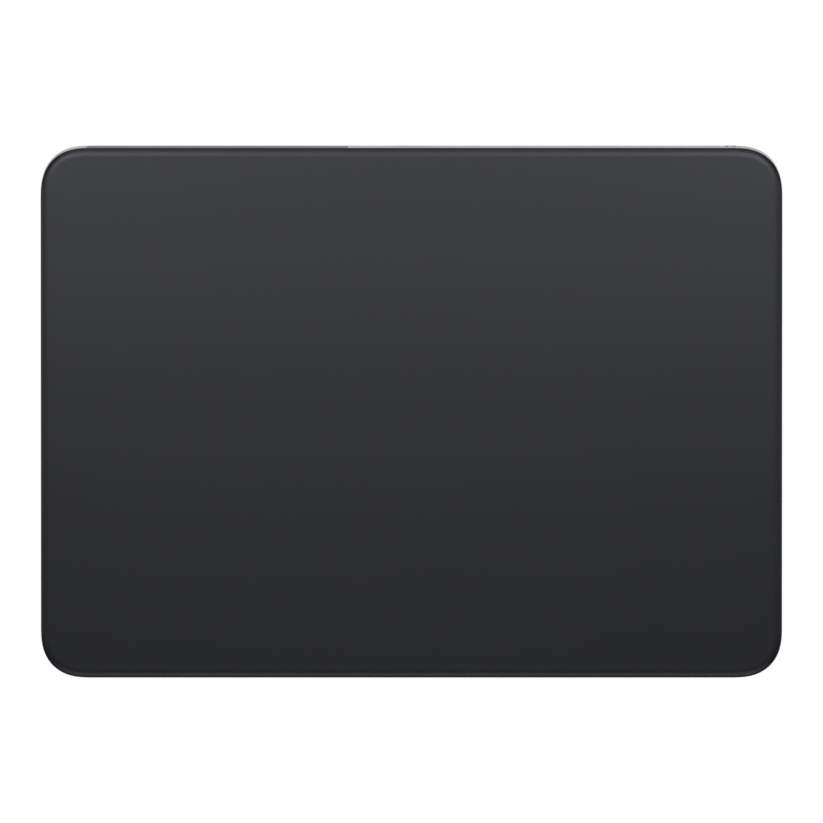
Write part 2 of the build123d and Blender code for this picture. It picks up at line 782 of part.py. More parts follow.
# Battery: two pouch cells on adhesive, with a protection board on their sealed flanges. They fill the floor
# between the haptic actuator, the main board and the rear flexures.
haptic_rear = deck.from_local_coords(Vector(0, haptic_y + bracket_length / 2, -bracket_drop))
board_underside_front = deck.from_local_coords(Vector(0, board_front, -board_bottom_drop))
cell_bottom = floor_top + cell_adhesive_thickness
cell_front_y = haptic_rear.Y + cell_front_gap
flange_rear_y = board_underside_front.Y - cell_rear_gap
cell_length = flange_rear_y - cell_flange_length - cell_front_y
cell_width = flexure_x - flexure_width / 2 - cell_side_gap - cell_gap / 2
cell_x = (cell_gap + cell_width) / 2
cell_y = cell_front_y + cell_length / 2
for side, x in (("left", -cell_x), ("right", cell_x)):
    with BuildPart() as cell:
        with BuildSketch(Plane.XY.offset(cell_bottom)):
            with Locations((x, cell_y)):
                Rectangle(cell_width, cell_length)
        extrude(amount=cell_thickness)
        fillet(cell.edges().filter_by(Axis.Y), radius=cell_rounding)
        with BuildSketch(Plane.XY.offset(cell_bottom)):
            with Locations((x, flange_rear_y)):
                Rectangle(
                    cell_width - 2 * cell_rounding,
                    cell_flange_length,
                    align=(Align.CENTER, Align.MAX),
                )
        extrude(amount=cell_flange_thickness)
    cell.part.label = f"{side}_battery_cell"
    export_step(cell.part, f"parts/{side}_battery_cell.step")

    with BuildPart() as cell_adhesive:
        with BuildSketch(Plane.XY.offset(floor_top)):
            with Locations((x, cell_y)):
                Rectangle(cell_width - 2 * cell_adhesive_margin, cell_length - 2 * cell_adhesive_margin)
        extrude(amount=cell_adhesive_thickness)
    cell_adhesive.part.label = f"{side}_cell_adhesive"
    export_step(cell_adhesive.part, f"parts/{side}_cell_adhesive.step")

battery_board_bottom = cell_bottom + cell_flange_thickness
battery_board_top = battery_board_bottom + battery_board_thickness
with BuildPart() as battery_board:
    with BuildSketch(Plane.XY.offset(battery_board_bottom)):
        with Locations((0, flange_rear_y)):
            Rectangle(battery_board_width, battery_board_length, align=(Align.CENTER, Align.MAX))
    extrude(amount=battery_board_thickness)
battery_board.part.label = "battery_board"
export_step(battery_board.part, "parts/battery_board.step")

# Flexible circuits, each a film bent along a path seen from the side, that runs straight into its connector
plug = (connector_y - connector_length / 2, connector_height / 2 - board_drop)
before_plug = (plug[0] - film_lead, plug[1])
sensor_landing_front = sensor_flex_y - sensor_flex_landing / 2
sensor_landing_rear = sensor_flex_y + sensor_flex_landing / 2
flexes = {
    "battery_flex": (
        battery_connector_x,
        battery_flex_width,
        (
            on_slope(flange_rear_y - battery_board_length / 2, battery_board_top + film / 2),
            on_slope(flange_rear_y, battery_board_top + film / 2),
            before_plug,
            plug,
        ),
    ),
    "haptic_flex": (
        0,
        haptic_flex_width,
        (
            on_slope(haptic_rear.Y, floor_top + film / 2),
            on_slope(flange_rear_y + film_bend, floor_top + film / 2),
            before_plug,
            plug,
        ),
    ),
    "sensor_flex": (
        sensor_connector_x,
        sensor_flex_width,
        (
            (sensor_landing_front, -stiffener_drop - film / 2),
            (sensor_landing_rear, -stiffener_drop - film / 2),
            (sensor_landing_rear + film_bend, (plug[1] - stiffener_drop) / 2),
            before_plug,
            plug,
        ),
    ),
}
for label, (x, flex_width, path) in flexes.items():
    with BuildPart() as flex:
        with BuildSketch(side_at(x - flex_width / 2)):
            with BuildLine():
                FilletPolyline(*path, radius=film_bend)
            trace(line_width=film)
        extrude(amount=flex_width)
    flex.part.label = label
    export_step(flex.part, f"parts/{label}.step")

# Gauge flexes: a strip on the floor along each side wall, that turns in to the main board
gauge_flex_y = board_front + gauge_flex_board_overlap
gauge_flex_x = width / 2 - wall - gauge_flex_wall_gap - gauge_flex_width / 2
for side, x, end_x in (
    ("left", -gauge_flex_x, board_left - gauge_flex_end_gap),
    ("right", gauge_flex_x, board_right + gauge_flex_end_gap),
):
    with BuildPart() as gauge_flex:
        with BuildSketch(Plane.XY.offset(floor_top)):
            with BuildLine():
                FilletPolyline(
                    (x, flexure_front_y), (x, gauge_flex_y), (end_x, gauge_flex_y), radius=gauge_flex_bend
                )
            trace(line_width=gauge_flex_width)
        extrude(amount=film)
    gauge_flex.part.label = f"{side}_gauge_flex"
    export_step(gauge_flex.part, f"parts/{side}_gauge_flex.step")

# Antenna: a film behind the window, with a slot in it and a tail to its connector on the main board
antenna_width = window_width - 2 * antenna_flex_margin
antenna_tail_end = antenna_connector_x + antenna_connector_width / 2
antenna_tail_start = window_right - antenna_flex_margin - antenna_slot_margin
with BuildPart() as antenna_flex:
    with BuildSketch(rear_face.offset(wall)):
        with Locations((window_x, -port_drop)):
            Rectangle(antenna_width, antenna_flex_height)
            SlotOverall(antenna_width - 2 * antenna_slot_margin, antenna_slot_width, mode=Mode.SUBTRACT)
        with Locations((antenna_tail_start, -board_drop)):
            Rectangle(
                antenna_tail_end - antenna_tail_start, antenna_tail_height, align=(Align.MIN, Align.MIN)
            )
    extrude(amount=film)
antenna_flex.part.label = "antenna_flex"
export_step(antenna_flex.part, "parts/antenna_flex.step")

with BuildPart() as antenna_connector:
    with BuildSketch(rear_face.offset(wall + film)):
        with Locations((antenna_connector_x, -board_drop)):
            Rectangle(antenna_connector_width, connector_height, align=(Align.CENTER, Align.MIN))
    extrude(amount=connector_length)
antenna_connector.part.label = "antenna_connector"
export_step(antenna_connector.part, "parts/antenna_connector.step")
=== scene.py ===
import json
from math import atan2, cos, pi, radians, sin

import bmesh
import bpy
import numpy as np
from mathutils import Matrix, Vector


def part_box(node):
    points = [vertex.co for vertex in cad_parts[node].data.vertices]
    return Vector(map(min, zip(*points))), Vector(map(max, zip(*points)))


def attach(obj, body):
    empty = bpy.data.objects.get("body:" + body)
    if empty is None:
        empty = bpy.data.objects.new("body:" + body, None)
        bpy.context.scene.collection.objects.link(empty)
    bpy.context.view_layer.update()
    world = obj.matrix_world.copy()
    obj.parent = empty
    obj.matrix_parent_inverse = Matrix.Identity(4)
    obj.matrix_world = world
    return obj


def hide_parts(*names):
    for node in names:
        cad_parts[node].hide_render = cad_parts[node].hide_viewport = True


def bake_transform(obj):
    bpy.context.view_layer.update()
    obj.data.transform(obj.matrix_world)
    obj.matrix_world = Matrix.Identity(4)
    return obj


# Desktop trackpad: black satin glass over a thin aluminium wedge, seen from straight above on a white table.
# Metres throughout. +X right, +Y to the rear, +Z up.

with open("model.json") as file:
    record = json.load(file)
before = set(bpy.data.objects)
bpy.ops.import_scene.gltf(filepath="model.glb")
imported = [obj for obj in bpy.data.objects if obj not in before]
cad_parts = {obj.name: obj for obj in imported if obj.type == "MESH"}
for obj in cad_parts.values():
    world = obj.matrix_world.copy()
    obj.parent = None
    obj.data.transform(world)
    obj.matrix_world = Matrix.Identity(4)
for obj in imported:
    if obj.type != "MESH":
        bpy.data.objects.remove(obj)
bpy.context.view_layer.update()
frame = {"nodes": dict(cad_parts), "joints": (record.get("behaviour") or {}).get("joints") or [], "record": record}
joints = {joint["name"]: joint for joint in frame["joints"]}
pressAxis = joints["plate_press"]["axis"]
tilt = atan2(pressAxis[1], -pressAxis[2])  # slope of the glass, front to rear
slotOf = {row["node"]: row["material_slot"] for row in frame["record"]["subparts"]}
bodyOf = {node: body for body, members in frame["record"]["behaviour"]["bodies"].items() for node in members}
print("frame loaded:", len(frame["nodes"]), "nodes, glass slope", round(tilt, 5))


# Node helpers

def newNode(tree, kind, place=(0, 0), **settings):
    node = tree.nodes.new(kind)
    node.location = place
    for name, value in settings.items():
        setattr(node, name, value)
    return node


def setSockets(node, **values):
    for name, value in values.items():
        node.inputs[name.replace("_", " ")].default_value = value


def feed(tree, socket, value):
    if isinstance(value, bpy.types.NodeSocket):
        tree.links.new(value, socket)
    else:
        socket.default_value = value


def mathNode(tree, operation, *values):
    node = newNode(tree, "ShaderNodeMath", operation=operation)
    for socket, value in zip(node.inputs, values):
        feed(tree, socket, value)
    return node.outputs[0]


def mixColour(tree, share, first, second):
    # a Mix node has its colours at inputs 6 and 7 and at output 2
    node = newNode(tree, "ShaderNodeMix", data_type="RGBA")
    for i, value in ((0, share), (6, first), (7, second)):
        feed(tree, node.inputs[i], value)
    return node.outputs[2]


def reflectedRays(tree, path):
    return mathNode(tree, "MAXIMUM", path.outputs["Is Glossy Ray"], path.outputs["Is Transmission Ray"])


def newGroup(name, inputs, outputs):
    group = bpy.data.node_groups.new(name, "ShaderNodeTree")
    for socketName, kind, value in inputs:
        socket = group.interface.new_socket(socketName, in_out="INPUT", socket_type=kind)
        if value is not None:
            socket.default_value = value
    for socketName, kind in outputs:
        group.interface.new_socket(socketName, in_out="OUTPUT", socket_type=kind)
    entry = newNode(group, "NodeGroupInput", (-900, 0))
    ending = newNode(group, "NodeGroupOutput", (600, 0))
    return group, entry.outputs, ending.inputs


def objectPoint(tree, scale=None):
    point = newNode(tree, "ShaderNodeTexCoord", (-700, 200)).outputs["Object"]
    if scale is None:
        return point
    stretch = newNode(tree, "ShaderNodeVectorMath", operation="SCALE")
    tree.links.new(point, stretch.inputs[0])
    tree.links.new(scale, stretch.inputs["Scale"])
    return stretch.outputs[0]


# Shared effects, one node group each

fineGrain = {
    "detail": 3.0, "roughness": 0.6, "coarseScale": 0.11, "coarseDetail": 2.0, "coarseRoughness": 0.5,
}


def buildFineGrain(values):
    # even speckle, as on a blasted or etched surface and on moulded plastic: fine noise for colour and
    # height, and coarse noise for the gloss
    group, given, out = newGroup(
        "fineGrain",
        [
            ("Colour", "NodeSocketColor", (0.5, 0.5, 0.5, 1)),
            ("Speck Colour", "NodeSocketColor", (0.4, 0.4, 0.4, 1)),
            ("Grains per Metre", "NodeSocketFloat", 6000.0),
            ("Speck Share", "NodeSocketFloat", 0.3),
            ("Roughness", "NodeSocketFloat", 0.4),
            ("Roughness Spread", "NodeSocketFloat", 0.08),
        ],
        [("Colour", "NodeSocketColor"), ("Roughness", "NodeSocketFloat"), ("Height", "NodeSocketFloat")],
    )
    point = objectPoint(group, given["Grains per Metre"])
    fine = newNode(group, "ShaderNodeTexNoise", (-400, 200))
    setSockets(fine, Scale=1.0, Detail=values["detail"], Roughness=values["roughness"])
    group.links.new(point, fine.inputs["Vector"])
    coarse = newNode(group, "ShaderNodeTexNoise", (-400, -100))
    setSockets(coarse, Scale=values["coarseScale"], Detail=values["coarseDetail"],
               Roughness=values["coarseRoughness"])
    group.links.new(point, coarse.inputs["Vector"])
    speck = mathNode(group, "MULTIPLY", fine.outputs["Fac"], given["Speck Share"])
    group.links.new(mixColour(group, speck, given["Colour"], given["Speck Colour"]), out["Colour"])
    centred = mathNode(group, "SUBTRACT", coarse.outputs["Fac"], 0.5)
    spread = mathNode(group, "MULTIPLY", centred, given["Roughness Spread"])
    group.links.new(mathNode(group, "ADD", given["Roughness"], spread), out["Roughness"])
    group.links.new(fine.outputs["Fac"], out["Height"])
    return group


handling = {"detail": 5.0, "roughness": 0.55, "distortion": 0.7, "edge": (0.42, 0.7)}


def buildHandling(values):
    # faint soft marks where hands rest, as a slow change of gloss and a trace of dust
    group, given, out = newGroup(
        "handling",
        [
            ("Colour", "NodeSocketColor", (0.5, 0.5, 0.5, 1)),
            ("Dust Colour", "NodeSocketColor", (0.55, 0.54, 0.52, 1)),
            ("Dust Share", "NodeSocketFloat", 0.02),
            ("Roughness", "NodeSocketFloat", 0.4),
            ("Mark Depth", "NodeSocketFloat", 0.04),
            ("Marks per Metre", "NodeSocketFloat", 38.0),
        ],
        [("Colour", "NodeSocketColor"), ("Roughness", "NodeSocketFloat")],
    )
    point = objectPoint(group, given["Marks per Metre"])
    marks = newNode(group, "ShaderNodeTexNoise", (-400, 200))
    setSockets(marks, Scale=1.0, Detail=values["detail"], Roughness=values["roughness"],
               Distortion=values["distortion"])
    group.links.new(point, marks.inputs["Vector"])
    edge = newNode(group, "ShaderNodeMapRange", (-200, 200), interpolation_type="SMOOTHSTEP")
    setSockets(edge, From_Min=values["edge"][0], From_Max=values["edge"][1])
    group.links.new(marks.outputs["Fac"], edge.inputs["Value"])
    dust = mathNode(group, "MULTIPLY", edge.outputs[0], given["Dust Share"])
    group.links.new(mixColour(group, dust, given["Colour"], given["Dust Colour"]), out["Colour"])
    change = mathNode(group, "MULTIPLY", edge.outputs[0], given["Mark Depth"])
    group.links.new(mathNode(group, "SUBTRACT", given["Roughness"], change), out["Roughness"])
    return group


fineLines = {"waverScale": 600.0, "waverDetail": 2.0, "softness": 0.15}


def buildFineLines(values):
    # parallel lines at a pitch along one direction: rolled steel, laminations, coil turns, printed tracks
    group, given, out = newGroup(
        "fineLines",
        [
            ("Colour", "NodeSocketColor", (0.5, 0.5, 0.5, 1)),
            ("Line Colour", "NodeSocketColor", (0.3, 0.3, 0.3, 1)),
            ("Across", "NodeSocketVector", (1, 0, 0)),
            ("Lines per Metre", "NodeSocketFloat", 4000.0),
            ("Line Share", "NodeSocketFloat", 0.5),
            ("Waver", "NodeSocketFloat", 0.2),
        ],
        [("Colour", "NodeSocketColor"), ("Height", "NodeSocketFloat")],
    )
    point = objectPoint(group)
    along = newNode(group, "ShaderNodeVectorMath", (-500, 200), operation="DOT_PRODUCT")
    group.links.new(point, along.inputs[0])
    group.links.new(given["Across"], along.inputs[1])
    noise = newNode(group, "ShaderNodeTexNoise", (-500, -100))
    setSockets(noise, Scale=values["waverScale"], Detail=values["waverDetail"])
    group.links.new(point, noise.inputs["Vector"])
    wander = mathNode(group, "MULTIPLY", noise.outputs["Fac"], given["Waver"])
    phase = mathNode(group, "MULTIPLY_ADD", along.outputs["Value"], given["Lines per Metre"], wander)
    wave = mathNode(group, "PINGPONG", phase, 0.5)
    height = mathNode(group, "MULTIPLY", wave, 2.0)
    edge = newNode(group, "ShaderNodeMapRange", (100, 100), interpolation_type="SMOOTHSTEP")
    group.links.new(height, edge.inputs["Value"])
    for operation, end in (("SUBTRACT", "From Min"), ("ADD", "From Max")):
        limit = mathNode(group, operation, given["Line Share"], values["softness"])
        group.links.new(limit, edge.inputs[end])
    group.links.new(mixColour(group, edge.outputs[0], given["Line Colour"], given["Colour"]), out["Colour"])
    group.links.new(height, out["Height"])
    return group


groups = {
    "grain": buildFineGrain(fineGrain),
    "handling": buildHandling(handling),
    "lines": buildFineLines(fineLines),
}
print("shared groups built:", ", ".join(groups))


# Finishes. Each entry is what a user would change: grain, marks, lines, and the plain values of the shader.

bumpDistance = 0.00002  # metres, for every finish; "bump" is its strength
finishes = {
    "face_glass": {
        "colour": (0.0022, 0.0028, 0.0048), "speck": (0.0036, 0.0043, 0.0068),
        "grains": 9000.0, "speckShare": 0.5,
        "roughness": 0.37, "spread": 0.02, "marks": 30.0, "markDepth": 0.012, "dust": 0.0005,
        "bump": 0.02, "ior": 1.5,
    },
    "enclosure_metal": {
        "colour": (0.6, 0.6, 0.615), "speck": (0.49, 0.49, 0.505), "grains": 9000.0, "speckShare": 0.35,
        "roughness": 0.4, "spread": 0.1, "marks": 45.0, "markDepth": 0.05, "dust": 0.01,
        "bump": 0.12, "metal": 1.0,
    },
    "base_metal": {
        "colour": (0.6, 0.6, 0.615), "speck": (0.49, 0.49, 0.505), "grains": 7000.0, "speckShare": 0.4,
        "roughness": 0.5, "spread": 0.1, "marks": 60.0, "markDepth": 0.06, "dust": 0.02,
        "bump": 0.12, "metal": 1.0,
    },
    "window_plastic": {
        "colour": (0.2, 0.201, 0.205), "speck": (0.163, 0.164, 0.167), "grains": 8000.0, "speckShare": 0.4,
        "roughness": 0.5, "spread": 0.06, "marks": 50.0, "markDepth": 0.04, "dust": 0.01, "bump": 0.1,
    },
    "knob_plastic": {
        "colour": (0.62, 0.62, 0.63), "speck": (0.55, 0.55, 0.56), "grains": 9000.0, "speckShare": 0.3,
        "roughness": 0.42, "spread": 0.06, "marks": 200.0, "markDepth": 0.05, "dust": 0.01, "bump": 0.06,
        # the groove colour is painted shade at the bottom of the grip grooves
        "grooveAndPaintedShade": (0.025, 0.025, 0.026),
    },
    "switch_plastic": {
        "colour": (0.03, 0.03, 0.031), "speck": (0.05, 0.05, 0.052), "grains": 8000.0, "speckShare": 0.5,
        "roughness": 0.55, "spread": 0.08, "marks": 150.0, "markDepth": 0.06, "dust": 0.01, "bump": 0.1,
    },
    "foot_rubber": {
        "colour": (0.42, 0.42, 0.43), "speck": (0.35, 0.35, 0.36), "grains": 5000.0, "speckShare": 0.5,
        "roughness": 0.78, "spread": 0.1, "marks": 220.0, "markDepth": 0.08, "dust": 0.05, "bump": 0.25,
    },
    "pad_rubber": {
        "colour": (0.05, 0.05, 0.052), "speck": (0.08, 0.08, 0.08), "grains": 5000.0, "speckShare": 0.5,
        "roughness": 0.8, "spread": 0.08, "marks": 220.0, "markDepth": 0.05, "dust": 0.03, "bump": 0.2,
    },
    "spring_steel": {
        "colour": (0.60, 0.60, 0.61), "speck": (0.5, 0.5, 0.5), "grains": 6000.0, "speckShare": 0.25,
        "roughness": 0.3, "spread": 0.08, "marks": 120.0, "markDepth": 0.04, "dust": 0.0,
        "bump": 0.1, "metal": 1.0,
        "lines": {"colour": (0.52, 0.52, 0.53), "across": (1, 0, 0), "perMetre": 9000.0, "share": 0.35,
                  "waver": 0.7},
    },
    "core_iron": {
        "colour": (0.34, 0.335, 0.33), "speck": (0.26, 0.255, 0.25), "grains": 5000.0, "speckShare": 0.4,
        "roughness": 0.45, "spread": 0.1, "marks": 120.0, "markDepth": 0.05, "dust": 0.0,
        "bump": 0.2, "metal": 1.0,
        "lines": {"colour": (0.2, 0.195, 0.19), "across": (0, 1, 0), "perMetre": 2860.0, "share": 0.2,
                  "waver": 0.05},
    },
    "shell_steel": {
        "colour": (0.46, 0.46, 0.46), "speck": (0.4, 0.4, 0.4), "grains": 7000.0, "speckShare": 0.3,
        "roughness": 0.28, "spread": 0.08, "marks": 160.0, "markDepth": 0.05, "dust": 0.0,
        "bump": 0.05, "metal": 1.0,
    },
    "coil_copper": {
        "colour": (0.72, 0.36, 0.2), "speck": (0.6, 0.28, 0.15), "grains": 6000.0, "speckShare": 0.3,
        "roughness": 0.3, "spread": 0.08, "marks": 150.0, "markDepth": 0.05, "dust": 0.0,
        "bump": 0.4, "metal": 1.0,
        "lines": {"colour": (0.3, 0.12, 0.06), "across": (0, 0, 1), "perMetre": 9000.0, "share": 0.25,
                  "waver": 0.1},
    },
    "contact_gold": {
        "colour": (0.83, 0.62, 0.28), "speck": (0.75, 0.55, 0.24), "grains": 9000.0, "speckShare": 0.3,
        "roughness": 0.25, "spread": 0.05, "marks": 300.0, "markDepth": 0.04, "dust": 0.0,
        "bump": 0.02, "metal": 1.0,
    },
    "board_laminate": {
        "colour": (0.012, 0.03, 0.022), "speck": (0.02, 0.045, 0.03), "grains": 3000.0, "speckShare": 0.6,
        "roughness": 0.4, "spread": 0.08, "marks": 90.0, "markDepth": 0.05, "dust": 0.01, "bump": 0.15,
        "lines": {"colour": (0.02, 0.06, 0.04), "across": (1, 0, 0), "perMetre": 1500.0, "share": 0.3,
                  "waver": 2.4},
    },
    "chip_plastic": {
        "colour": (0.022, 0.022, 0.024), "speck": (0.045, 0.045, 0.046), "grains": 7000.0, "speckShare": 0.5,
        "roughness": 0.6, "spread": 0.08, "marks": 180.0, "markDepth": 0.05, "dust": 0.01, "bump": 0.15,
    },
    "circuit_film": {
        "colour": (0.35, 0.17, 0.045), "speck": (0.3, 0.14, 0.035), "grains": 4000.0, "speckShare": 0.4,
        "roughness": 0.32, "spread": 0.06, "marks": 120.0, "markDepth": 0.04, "dust": 0.0, "bump": 0.15,
        "lines": {"colour": (0.2, 0.08, 0.02), "across": (1, 0, 0), "perMetre": 1600.0, "share": 0.4,
                  "waver": 0.0},
    },
    "cell_foil": {
        "colour": (0.55, 0.56, 0.58), "speck": (0.46, 0.47, 0.49), "grains": 2500.0, "speckShare": 0.4,
        "roughness": 0.34, "spread": 0.1, "marks": 110.0, "markDepth": 0.1, "dust": 0.01,
        "bump": 0.35, "metal": 1.0,
    },
    "adhesive": {
        "colour": (0.06, 0.06, 0.062), "speck": (0.1, 0.1, 0.1), "grains": 2600.0, "speckShare": 0.6,
        "roughness": 0.7, "spread": 0.1, "marks": 100.0, "markDepth": 0.1, "dust": 0.02, "bump": 0.3,
    },
}


def buildFinish(name, values):
    material = bpy.data.materials.new(name)
    material.use_nodes = True
    tree = material.node_tree
    tree.nodes.clear()
    output = newNode(tree, "ShaderNodeOutputMaterial", (700, 0))
    shader = newNode(tree, "ShaderNodeBsdfPrincipled", (400, 0))
    tree.links.new(shader.outputs[0], output.inputs[0])
    setSockets(shader, Metallic=values.get("metal", 0.0), IOR=values.get("ior", 1.5))
    grain = newNode(tree, "ShaderNodeGroup", (-500, 100), node_tree=groups["grain"])
    setSockets(grain, Colour=(*values["colour"], 1), Speck_Colour=(*values["speck"], 1),
               Grains_per_Metre=values["grains"], Speck_Share=values["speckShare"],
               Roughness=values["roughness"], Roughness_Spread=values["spread"])
    colour, height = grain.outputs["Colour"], grain.outputs["Height"]
    if "lines" in values:
        given = values["lines"]
        lines = newNode(tree, "ShaderNodeGroup", (-250, 300), node_tree=groups["lines"])
        setSockets(lines, Line_Colour=(*given["colour"], 1), Across=given["across"],
                   Lines_per_Metre=given["perMetre"], Line_Share=given["share"], Waver=given["waver"])
        tree.links.new(colour, lines.inputs["Colour"])
        colour, height = lines.outputs["Colour"], lines.outputs["Height"]
    marks = newNode(tree, "ShaderNodeGroup", (0, 100), node_tree=groups["handling"])
    setSockets(marks, Marks_per_Metre=values["marks"], Mark_Depth=values["markDepth"],
               Dust_Share=values["dust"])
    tree.links.new(colour, marks.inputs["Colour"])
    tree.links.new(grain.outputs["Roughness"], marks.inputs["Roughness"])
    colour = marks.outputs["Colour"]
    if "grooveAndPaintedShade" in values:  # painted shade, darker at the bottom of the grip grooves
        depth = newNode(tree, "ShaderNodeAttribute", (0, -200), attribute_name="grooveAndPaintedShade").outputs["Fac"]
        colour = mixColour(tree, depth, colour, (*values["grooveAndPaintedShade"], 1))
    tree.links.new(colour, shader.inputs["Base Color"])
    tree.links.new(marks.outputs["Roughness"], shader.inputs["Roughness"])
    bump = newNode(tree, "ShaderNodeBump", (200, -250))
    setSockets(bump, Strength=values["bump"], Distance=bumpDistance)
    tree.links.new(height, bump.inputs["Height"])
    tree.links.new(bump.outputs[0], shader.inputs["Normal"])
    return material


materials = {name: buildFinish(name + "Finish", values) for name, values in finishes.items()}
for node, piece in frame["nodes"].items():
    for slot in piece.material_slots:
        slot.material = materials[slotOf[node]]
print("finishes on the CAD pieces:", len(materials))


# Pieces

def addPiece(name, points, faces, node, sharpAngle=30, rides=True):
    mesh = bpy.data.meshes.new(name)
    mesh.from_pydata(points.tolist(), [], faces)
    mesh.validate()
    mesh.shade_smooth()
    mesh.set_sharp_from_angle(angle=radians(sharpAngle))
    piece = bpy.data.objects.new(name, mesh)
    bpy.context.scene.collection.objects.link(piece)
    mesh.materials.append(materials[slotOf[node]])
    if rides:
        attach(piece, bodyOf[node])
    return piece


faceGlass = {
    # the points of the corner curve are set off from the corner by these shares of the radius
    "cornerRadius": 0.00889, "cornerShares": (1.288, 0.766, 0.425),
    "thickness": 0.001, "edgeReach": 0.0019, "edgeDrop": 0.00055, "edgeSteps": 22,
    "cornerSteps": 36, "sideSteps": 20,
    "innerRings": (0.00002, 0.0015, 0.006, 0.02, 0.04),  # how far in from the edge the flat face has rings
}


def easedRings(halfWidth, halfLength, radius, shares, insets, cornerSteps, sideSteps):
    # One ring for each inset. A corner is the fifth-degree Bezier curve of six points, set off from the
    # corner by the three shares of the radius, so its bend grows from nothing. Straight runs join them up.
    insets = np.asarray(insets)[:, None, None]
    far, middle, near = (share * (radius - insets) for share in shares)
    zero = np.zeros_like(insets)
    # distances back from the corner
    alongSide = np.concatenate([far, middle, near, zero, zero, zero], axis=1)
    alongEnd = alongSide[:, ::-1]
    t = np.linspace(0, 1, cornerSteps + 1)
    rows = np.array([1, 5, 10, 10, 5, 1])
    power = np.arange(6)
    weights = rows * t[:, None] ** power * (1 - t[:, None]) ** (5 - power)
    x = halfWidth - insets[:, 0] - (weights @ alongEnd)[:, :, 0]
    y = halfLength - insets[:, 0] - (weights @ alongSide)[:, :, 0]
    corner = np.stack([x, y], axis=-1)
    quarters = [corner, corner[:, ::-1] * (-1, 1), corner * (-1, -1), corner[:, ::-1] * (1, -1)]
    s = np.linspace(0, 1, sideSteps + 2)[1:-1, None]
    parts = []
    for i, quarter in enumerate(quarters):
        following = quarters[(i + 1) % 4]
        run = quarter[:, -1:] * (1 - s) + following[:, :1] * s
        parts += [quarter, run]
    return np.concatenate(parts, axis=1)


# the plane of the glass: its middle point, worked back from the box of the glass plate in the frame
plateLow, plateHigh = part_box("glass_plate")
plateThickness, plateDrop = faceGlass["thickness"], faceGlass["edgeDrop"]
halfWidth = (plateHigh.x - plateLow.x) / 2
halfLength = (plateHigh.y - plateLow.y - (plateThickness - plateDrop) * sin(tilt)) / 2 / cos(tilt)
middleY = (plateLow.y + plateHigh.y - (plateThickness + plateDrop) * sin(tilt)) / 2
middleZ = plateLow.z + halfLength * sin(tilt) + plateThickness * cos(tilt)


def onSlope(x, up, out):
    # from places along the slope and out of the glass to the frame: a turn about X by the slope, then a shift
    y = middleY + up * cos(tilt) - out * sin(tilt)
    z = middleZ + up * sin(tilt) + out * cos(tilt)
    return np.stack(np.broadcast_arrays(x, y, z), axis=-1)


def closedFaces(rows, count):
    # Quads between rings that follow each other, and a fan from the first and from the last ring to its
    # middle point. The two middle points come after the rings, the first ring's own first.
    index = np.arange(rows * count).reshape(rows, count)
    onward = np.roll(index, -1, axis=1)
    quads = np.stack([index[:-1], onward[:-1], onward[1:], index[1:]], axis=-1).reshape(-1, 4)
    under = np.stack([onward[0], index[0], np.full(count, rows * count)], axis=-1)
    top = np.stack([index[-1], onward[-1], np.full(count, rows * count + 1)], axis=-1)
    return quads.tolist() + under.tolist() + top.tolist()


def buildFaceGlass(values):
    # The outline above, carried up a profile: flat underside, a short upright side, a quarter of an ellipse
    # at the edge, and the flat face. Underside and face close on their middle points.
    thickness, drop, reach = values["thickness"], values["edgeDrop"], values["edgeReach"]
    turn = np.linspace(0, pi / 2, values["edgeSteps"] + 1)
    edgeInsets = reach * (1 - np.cos(turn))
    edgeDrops = drop * (1 - np.sin(turn))
    inner = np.array(values["innerRings"])
    insets = np.concatenate([[0], edgeInsets, np.full(len(inner), reach)])
    drops = np.concatenate([[thickness], edgeDrops, np.zeros(len(inner))])
    rings = easedRings(halfWidth, halfLength, values["cornerRadius"], values["cornerShares"], insets,
                       values["cornerSteps"], values["sideSteps"])
    shrink = 1 - inner / (halfLength - reach)
    rings[-len(inner):] *= shrink[:, None, None]
    rows, count = rings.shape[:2]
    points = onSlope(rings[:, :, 0], rings[:, :, 1], -drops[:, None]).reshape(-1, 3)
    middles = onSlope(np.zeros(2), np.zeros(2), np.array([-thickness, 0]))
    piece = addPiece("faceGlass", np.concatenate([points, middles]), closedFaces(rows, count), "glass_plate")
    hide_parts("glass_plate")
    return piece


glass = buildFaceGlass(faceGlass)
print("face glass:", len(glass.data.polygons), "faces")


smoothed = {
    # node: name of the copy, and the angle past which an edge stays sharp, in degrees
    "enclosure": ("wedgeBody", 32), "antenna_window": ("windowInsert", 32), "base_plate": ("basePanel", 32),
    "port_shell": ("portShell", 32), "port_tongue": ("portTongue", 32),
    "front_left_foot": ("frontLeftFoot", 30), "front_right_foot": ("frontRightFoot", 30),
    "rear_left_foot": ("rearLeftFoot", 30), "rear_right_foot": ("rearRightFoot", 30),
}


weldDigits = 7  # points that agree in this many digits of a metre are one point
normalWeight = 90  # how far the large faces rule the shading of the rounds between them


def weldedSurface(node):
    # the CAD piece's own surface, with its loose triangles joined at the points that they share
    source = frame["nodes"][node].data
    count = len(source.vertices)
    points = np.empty(count * 3)
    source.vertices.foreach_get("co", points)
    points = points.reshape(count, 3)
    corners = np.empty(len(source.loops), dtype=int)
    source.loops.foreach_get("vertex_index", corners)
    rounded = np.round(points, weldDigits)
    first, place = np.unique(rounded, axis=0, return_index=True, return_inverse=True)[1:]
    triangles = place.reshape(-1)[corners].reshape(-1, 3)
    whole = (triangles != np.roll(triangles, 1, axis=1)).all(axis=1)
    return points[first], triangles[whole].tolist()


roundedCorners = {
    # how near the corner and the outline a point has to be, and the sagitta left in an edge
    "nodes": ("enclosure",), "reach": 0.0125, "depth": 0.002, "sagitta": 0.000002, "passes": 3,
    "outlineSteps": 240, "sideSteps": 400,
    "batch": 500,  # points at a time, which keeps the table of distances small
}


